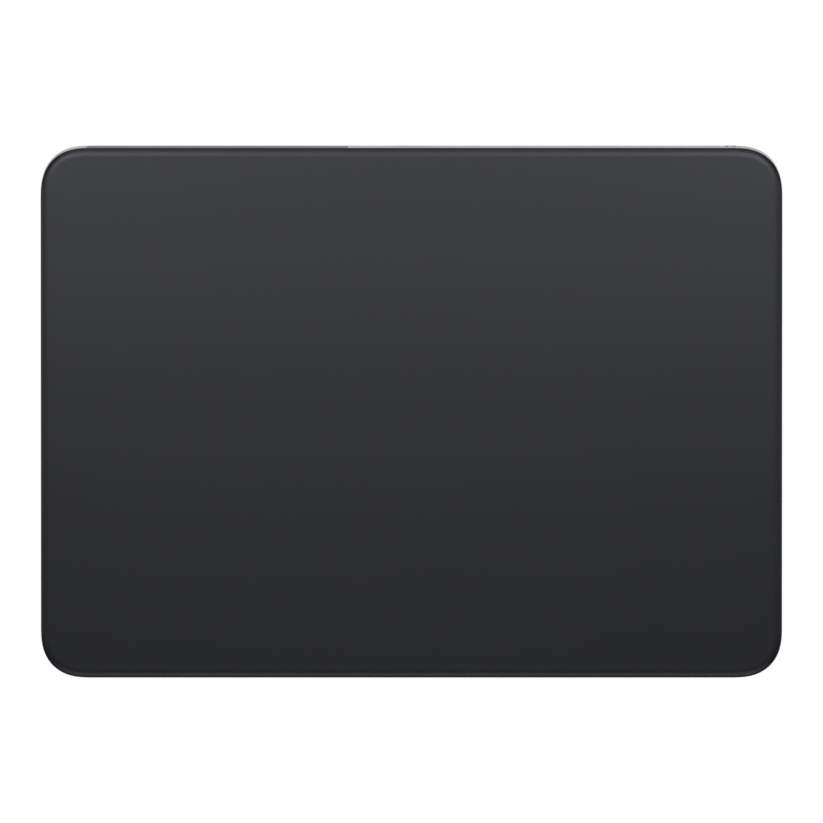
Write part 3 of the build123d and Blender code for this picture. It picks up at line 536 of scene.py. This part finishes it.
def outlineDepth(points, outline, outward):
    # how far inside the outline each point is, square to it, and which point of the outline is nearest
    along = (points[:, 1] - middleY) * cos(tilt) + (points[:, 2] - middleZ) * sin(tilt)
    flat = np.stack([points[:, 0], along], axis=1)
    nearest = np.concatenate([
        ((some[:, None] - outline) ** 2).sum(axis=2).argmin(axis=1)
        for some in np.array_split(flat, len(flat) // roundedCorners["batch"] + 1)
    ])
    return ((outline[nearest] - flat) * outward[nearest]).sum(axis=1), nearest, flat


def refineCorners(points, faces, values):
    # Round the facets of the corners: an edge whose middle lies deeper inside the outline than its ends do is
    # cut in half, and its new point moves out, square to the outline, to the middle of the two depths.
    outline = easedRings(halfWidth, halfLength, faceGlass["cornerRadius"], faceGlass["cornerShares"], [0.0],
                         values["outlineSteps"], values["sideSteps"])[0]
    onward = np.roll(outline, -1, axis=0) - np.roll(outline, 1, axis=0)
    outward = np.stack([onward[:, 1], -onward[:, 0]], axis=1)
    outward /= np.linalg.norm(outward, axis=1)[:, None]
    if (outward * outline).sum() < 0:
        outward = -outward
    body = bmesh.new()
    mesh = bpy.data.meshes.new("facets")
    mesh.from_pydata(points.tolist(), [], faces)
    body.from_mesh(mesh)
    bpy.data.meshes.remove(mesh)
    layer = body.verts.layers.float.new("depth")
    depths = outlineDepth(points, outline, outward)[0]
    for vertex, depth in zip(body.verts, depths):
        vertex[layer] = depth
    for _ in range(values["passes"]):
        edges = list(body.edges)
        ends = np.array([[vertex.co[:] for vertex in edge.verts] for edge in edges])
        endDepths = np.array([[vertex[layer] for vertex in edge.verts] for edge in edges])
        depth, _, flat = outlineDepth(ends.mean(axis=1), outline, outward)
        bent = depth - endDepths.mean(axis=1) > values["sagitta"]
        nearEdge = endDepths.max(axis=1) < values["depth"]
        nearCorner = (np.abs(flat) > np.array([halfWidth, halfLength]) - values["reach"]).all(axis=1)
        chosen = bent & nearEdge & nearCorner
        before = len(body.verts)
        bmesh.ops.subdivide_edges(body, edges=[edge for edge, cut in zip(edges, chosen) if cut], cuts=1)
        body.verts.ensure_lookup_table()
        fresh = [body.verts[i] for i in range(before, len(body.verts))]
        if not fresh:
            break
        depth, nearest, _ = outlineDepth(np.array([vertex.co[:] for vertex in fresh]), outline, outward)
        for vertex, own, place in zip(fresh, depth, nearest):
            move = outward[place] * (own - vertex[layer])
            vertex.co += Vector((move[0], move[1] * cos(tilt), move[1] * sin(tilt)))
        bmesh.ops.triangulate(body, faces=body.faces)
    body.verts.index_update()
    points = np.array([vertex.co[:] for vertex in body.verts])
    faces = [[vertex.index for vertex in face.verts] for face in body.faces]
    body.free()
    return points, faces


def smoothCopy(node, name, angle):
    # the rounds of the copy shade as rounds
    points, faces = weldedSurface(node)
    if node in roundedCorners["nodes"]:
        points, faces = refineCorners(points, faces, roundedCorners)
    piece = addPiece(name, points, faces, node, angle)
    weighted = piece.modifiers.new("evenShading", "WEIGHTED_NORMAL")
    weighted.keep_sharp = True
    weighted.weight = normalWeight
    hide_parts(node)


for node, (name, angle) in smoothed.items():
    smoothCopy(node, name, angle)
print("smooth copies:", len(smoothed))


flexure = {
    "corners": ("frontLeft", "frontRight", "rearLeft", "rearRight"),
    # along the slope from the middle of the flexure: the tongue's root, and the near edge of the pad on it
    "root": 0.00625, "padEdge": 0.00126,
    # what belongs to the tongue: how far it reaches to the sides, and the end beam in front that is left out
    "tongueHalfWidth": 0.0036, "endBeam": 0.0025,
    "cuts": 9, "tolerance": 1e-7, "sharpAngle": 40,
}


def buildFlexure(corner, values):
    # The CAD flexure, cut across at the root of its tongue and in slices up to the pad. The frame stays on the
    # chassis. The tongue and the strain gauge on it, which bend between the chassis and the pads that go down
    # with the plate, ride no body and keep their places.
    name = corner.replace("Left", "_left").replace("Right", "_right")
    node, gauge = name + "_flexure", name + "_strain_gauge"
    low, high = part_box(node)
    along = Vector((0, cos(tilt), sin(tilt)))
    middle = (low + high) / 2
    root = middle + along * values["root"]
    padEdge = middle + along * values["padEdge"]
    parts = bmesh.new()
    parts.from_mesh(frame["nodes"][node].data)
    bmesh.ops.remove_doubles(parts, verts=parts.verts, dist=values["tolerance"])
    for share in np.linspace(0, 1, values["cuts"]):
        geometry = list(parts.verts) + list(parts.edges) + list(parts.faces)
        bmesh.ops.bisect_plane(parts, geom=geometry, dist=values["tolerance"],
                               plane_co=root.lerp(padEdge, share), plane_no=along)
    bmesh.ops.triangulate(parts, faces=parts.faces)
    beamEnd = high.y - low.y - 2 * values["root"] - values["endBeam"]
    for label, isTongue in (("Frame", False), ("Tongue", True)):
        half = parts.copy()
        away = []
        for face in half.faces:
            place = face.calc_center_median()
            onTongue = (abs(place.x - middle.x) < values["tongueHalfWidth"] and (place - root).dot(along) < 0
                        and (place - low).dot(along) > beamEnd)
            if onTongue != isTongue:
                away.append(face)
        bmesh.ops.delete(half, geom=away, context="FACES")
        rim = [edge for edge in half.edges if edge.is_boundary]
        bmesh.ops.holes_fill(half, edges=rim)
        half.verts.ensure_lookup_table()
        half.verts.index_update()
        points = np.array([vertex.co[:] for vertex in half.verts])
        faces = [[vertex.index for vertex in face.verts] for face in half.faces]
        piece = addPiece(corner + "Flexure" + label, points, faces, node, values["sharpAngle"],
                         rides=not isTongue)
        half.free()
        if isTongue:
            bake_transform(piece)
        else:
            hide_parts(node)
    parts.free()
    piece = addPiece(corner + "Gauge", *weldedSurface(gauge), gauge, rides=False)
    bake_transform(piece)
    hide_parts(gauge)


for corner in flexure["corners"]:
    buildFlexure(corner, flexure)
print("flexures that bend:", len(flexure["corners"]))


def buildSensorFlex():
    # the ribbon up to the sensor board, whose foot sits on the main board and whose head goes down with the plate;
    # the copy rides no body
    piece = addPiece("sensorFlex", *weldedSurface("sensor_flex"), "sensor_flex", rides=False)
    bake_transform(piece)
    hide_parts("sensor_flex")


buildSensorFlex()


powerKnob = {
    "width": 0.0023, "height": 0.00146, "length": 0.0008,
    "stand": 0.00022,  # how far it stands out of the wall
    "wallGap": 0.00005,  # how far the wall stands out from the edge of the glass
    "rounding": 0.00013, "roundSteps": 6, "endSteps": 64,
    "faceRings": 26, "centreShrink": 0.02, "dish": 0.00003,
    "groovePlace": 0.0008, "grooveWidth": 0.00024, "grooveDepth": 0.00009,
    "neck": (0.0012, 0.0008, 0.00137),  # the block behind it, as wide, tall and long
    "sharpAngle": 40,
}


def buildPowerKnob(values):
    # A pill with a rounded rim: each ring is two half circles joined by straight runs, drawn in along the
    # rim's quarter circle and then shrunk to the middle of the face. A flat-topped bell curve, e to the power
    # of minus the fourth power of the distance, cuts a grip groove near each end, and the same curve darkens
    # the colour there as painted shade. A cosine dishes the face.
    low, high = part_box("power_knob")
    middleX = (low.x + high.x) / 2
    radius = values["height"] / 2
    run = values["width"] / 2 - radius
    turn = np.linspace(-pi / 2, pi / 2, values["endSteps"])
    ringX = np.concatenate([np.cos(turn), -np.cos(turn)])
    ringUp = np.concatenate([np.sin(turn), -np.sin(turn)])
    side = np.repeat([1.0, -1.0], values["endSteps"])
    bend = np.linspace(0, pi / 2, values["roundSteps"] + 1)
    rim = values["rounding"]
    inset = np.concatenate([[0, 0], rim * (1 - np.cos(bend))])
    depth = np.concatenate([[0, values["length"] / 2], values["length"] - rim * (1 - np.sin(bend))])
    shrink = np.linspace(1, values["centreShrink"], values["faceRings"])[1:]
    inset = np.concatenate([inset, np.full(len(shrink), rim)])
    depth = np.concatenate([depth, np.full(len(shrink), values["length"])])
    scale = np.concatenate([np.ones(len(inset) - len(shrink)), shrink])
    x = (run * side + (radius - inset[:, None]) * ringX) * scale[:, None]
    up = (radius - inset[:, None]) * ringUp * scale[:, None]
    grooveAndPaintedShade = np.exp(-((np.abs(x) - values["groovePlace"]) / values["grooveWidth"]) ** 4)
    onFace = np.clip((depth - values["length"] / 2) / (values["length"] / 2), 0, 1)[:, None]
    dish = values["dish"] * np.cos(np.clip(x / values["width"], -0.5, 0.5) * pi) * (scale < 1)[:, None]
    depthAll = depth[:, None] - onFace * grooveAndPaintedShade * values["grooveDepth"] - dish
    up = up * (1 - grooveAndPaintedShade * values["grooveDepth"] / radius)
    # the knob stands level with the lever that it moves, and its back end is inside the wall
    leverLow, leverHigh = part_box("switch_lever")
    leverY, leverZ = (leverLow.y + leverHigh.y) / 2, (leverLow.z + leverHigh.z) / 2
    drop = (leverZ - middleZ - (leverY - middleY) * sin(tilt) / cos(tilt)) * cos(tilt)
    back = halfLength + values["wallGap"] + values["stand"] - values["length"]
    rows, count = x.shape
    points = onSlope(middleX + x, back + depthAll, drop + up).reshape(-1, 3)
    centreUps = np.array([back, back + values["length"] - values["dish"]])
    centres = onSlope(np.full(2, middleX), centreUps, np.full(2, drop))
    wide, tall, long = values["neck"]
    corners = np.array([(i, j, k) for i in (-0.5, 0.5) for j in (-1, 0) for k in (-0.5, 0.5)])
    neck = onSlope(middleX + corners[:, 0] * wide, back + corners[:, 1] * long, drop + corners[:, 2] * tall)
    begin = len(points) + len(centres)
    neckFaces = [(0, 1, 3, 2), (4, 6, 7, 5), (0, 4, 5, 1), (2, 3, 7, 6), (0, 2, 6, 4), (1, 5, 7, 3)]
    faces = closedFaces(rows, count) + [tuple(begin + corner for corner in face) for face in neckFaces]
    points = np.concatenate([points, centres, neck])
    piece = addPiece("powerKnob", points, faces, "power_knob", values["sharpAngle"])
    # the groove curve, kept as a point attribute, darkens the knob's colour: painted shade in the grooves
    mark = piece.data.attributes.new("grooveAndPaintedShade", "FLOAT", "POINT")
    unmarked = np.zeros(len(centres) + len(neck))
    mark.data.foreach_set("value", np.concatenate([(grooveAndPaintedShade * (depth[:, None] > 0)).ravel(), unmarked]))
    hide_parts("power_knob")
    return piece


knob = buildPowerKnob(powerKnob)
print("power knob:", len(knob.data.polygons), "faces, box", [round(v * 1000, 3) for v in knob.dimensions])


# Table, light and camera

table = {
    "reach": 3.0, "colour": (0.74, 0.74, 0.74), "whiteShare": 0.985, "reflectedShare": 0.2,
    "near": (0.001, 0.003), "nearShare": 0.8,  # ray lengths over which the glow under the object fades
    "drop": 0.00002,  # the feet stand a hair above the table's own face
}


def buildTable(values):
    # one triangle round a circle of the given reach, so that no edge of it passes under the object
    turn = np.radians([90, 210, 330])
    points = np.stack([np.cos(turn), np.sin(turn), np.zeros(3)], axis=1) * 2 * values["reach"]
    points[:, 2] -= values["drop"]
    mesh = bpy.data.meshes.new("table")
    mesh.from_pydata(points.tolist(), [], [(0, 1, 2)])
    piece = bpy.data.objects.new("table", mesh)
    bpy.context.scene.collection.objects.link(piece)
    material = bpy.data.materials.new("paleTable")
    material.use_nodes = True
    tree = material.node_tree
    tree.nodes.clear()
    output = newNode(tree, "ShaderNodeOutputMaterial", (650, 0))
    surface = newNode(tree, "ShaderNodeBsdfDiffuse", (0, 100))
    surface.inputs["Color"].default_value = (*values["colour"], 1)
    white = newNode(tree, "ShaderNodeEmission", (0, -100))
    path = newNode(tree, "ShaderNodeLightPath", (-400, 300))
    reflected = mathNode(tree, "MULTIPLY", reflectedRays(tree, path), values["reflectedShare"])
    direct = mathNode(tree, "MULTIPLY", path.outputs["Is Camera Ray"], values["whiteShare"])
    # rays that meet the table close by come from the underside; they see it glow, or the underside would
    # be black
    near = newNode(tree, "ShaderNodeMapRange", (-200, -100), interpolation_type="SMOOTHSTEP")
    setSockets(near, From_Min=values["near"][0], From_Max=values["near"][1],
               To_Min=values["nearShare"], To_Max=0.0)
    tree.links.new(path.outputs["Ray Length"], near.inputs["Value"])
    share = mathNode(tree, "MAXIMUM", direct, mathNode(tree, "MAXIMUM", reflected, near.outputs[0]))
    mix = newNode(tree, "ShaderNodeMixShader", (250, 0))
    tree.links.new(share, mix.inputs[0])
    tree.links.new(surface.outputs[0], mix.inputs[1])
    tree.links.new(white.outputs[0], mix.inputs[2])
    # from below the table is clear, so that the underside can be looked at
    clear = newNode(tree, "ShaderNodeBsdfTransparent", (250, -200))
    behind = newNode(tree, "ShaderNodeNewGeometry", (250, 300)).outputs["Backfacing"]
    oneSided = newNode(tree, "ShaderNodeMixShader", (450, 0))
    tree.links.new(behind, oneSided.inputs[0])
    tree.links.new(mix.outputs[0], oneSided.inputs[1])
    tree.links.new(clear.outputs[0], oneSided.inputs[2])
    tree.links.new(oneSided.outputs[0], output.inputs[0])
    mesh.materials.append(material)


dome = {"level": 0.3, "white": 1.0, "horizon": 0.95, "overhead": 0.0, "fadeFrom": 0.08, "fadeTo": 0.4}


def buildDome(values):
    # Even light from all round for matt surfaces, at the given level. The camera sees white, and metal and
    # glass see white near the horizon, which fades out higher up.
    world = bpy.data.worlds.new("studioDome")
    bpy.context.scene.world = world
    world.use_nodes = True
    tree = world.node_tree
    tree.nodes.clear()
    output = newNode(tree, "ShaderNodeOutputWorld", (600, 0))
    backdrop = newNode(tree, "ShaderNodeBackground", (300, 0))
    tree.links.new(backdrop.outputs[0], output.inputs[0])
    direction = newNode(tree, "ShaderNodeTexCoord", (-900, 0)).outputs["Generated"]
    axes = newNode(tree, "ShaderNodeSeparateXYZ", (-700, 0))
    tree.links.new(direction, axes.inputs[0])
    fade = newNode(tree, "ShaderNodeMapRange", (-500, 0), interpolation_type="SMOOTHSTEP")
    setSockets(fade, From_Min=values["fadeFrom"], From_Max=values["fadeTo"],
               To_Min=values["horizon"], To_Max=values["overhead"])
    tree.links.new(axes.outputs["Z"], fade.inputs["Value"])
    path = newNode(tree, "ShaderNodeLightPath", (-500, 400))
    reflected = reflectedRays(tree, path)
    seen = mathNode(tree, "MAXIMUM", reflected, path.outputs["Is Camera Ray"])
    unseen = mathNode(tree, "SUBTRACT", 1.0, seen)
    plain = mathNode(tree, "MULTIPLY", unseen, values["level"])
    white = mathNode(tree, "MULTIPLY_ADD", path.outputs["Is Camera Ray"], values["white"], plain)
    strength = mathNode(tree, "MULTIPLY_ADD", reflected, fade.outputs[0], white)
    tree.links.new(strength, backdrop.inputs["Strength"])


softboxes = {
    # name: middle, width and height, watts; each points at the origin
    "overhead": ((0.0, 0.022, 0.5), (0.28, 0.12), 0.15),
    "nearLeft": ((-0.13, 0.12, 0.5), (0.1, 0.1), 0.41),
    "nearRight": ((0.13, 0.12, 0.5), (0.1, 0.1), 0.41),
    "rearLow": ((0.0, 0.3, 0.3), (0.5, 0.15), 0.3),
    "leftStrip": ((-0.4, 0.0, 0.3), (0.15, 0.5), 0.27),
    "rightStrip": ((0.4, 0.0, 0.3), (0.15, 0.5), 0.27),
    "frontStrip": ((0.0, -0.36, 0.42), (0.5, 0.09), 0.46),
}


softboxColour = (0.985, 1.0, 1.04)  # a little blue, as in the photo


def buildSoftboxes(boxes):
    for name, (place, size, watts) in boxes.items():
        lamp = bpy.data.lights.new(name, "AREA")
        lamp.shape = "RECTANGLE"
        lamp.size, lamp.size_y = size
        lamp.energy = watts
        lamp.color = softboxColour
        holder = bpy.data.objects.new(name, lamp)
        holder.location = place
        holder.rotation_euler = (-Vector(place)).to_track_quat("-Z", "Y").to_euler()
        holder.visible_camera = False
        bpy.context.scene.collection.objects.link(holder)


# a long lens from far off, because the photo shows no perspective; it leans a little, towards the rear wall
view = {
    "lens": 1200.0, "sensor": 36.0, "clip": (0.1, 20.0),
    "distance": 5.918, "lean": 0.45, "aim": (0.0, 0.000086, 0.0079),
}


def buildCamera(values):
    lean = radians(values["lean"])
    data = bpy.data.cameras.new("view")
    data.lens = values["lens"]
    data.sensor_width = values["sensor"]
    data.clip_start, data.clip_end = values["clip"]
    camera = bpy.data.objects.new("view", data)
    offset = Vector((0, sin(lean), cos(lean))) * values["distance"]
    camera.location = Vector(values["aim"]) + offset
    camera.rotation_euler = (-lean, 0, 0)
    bpy.context.scene.collection.objects.link(camera)
    bpy.context.scene.camera = camera


buildTable(table)
buildDome(dome)
buildSoftboxes(softboxes)
buildCamera(view)
bpy.context.scene.view_settings.view_transform = "Standard"
print("table, dome,", len(softboxes), "softboxes and camera placed")
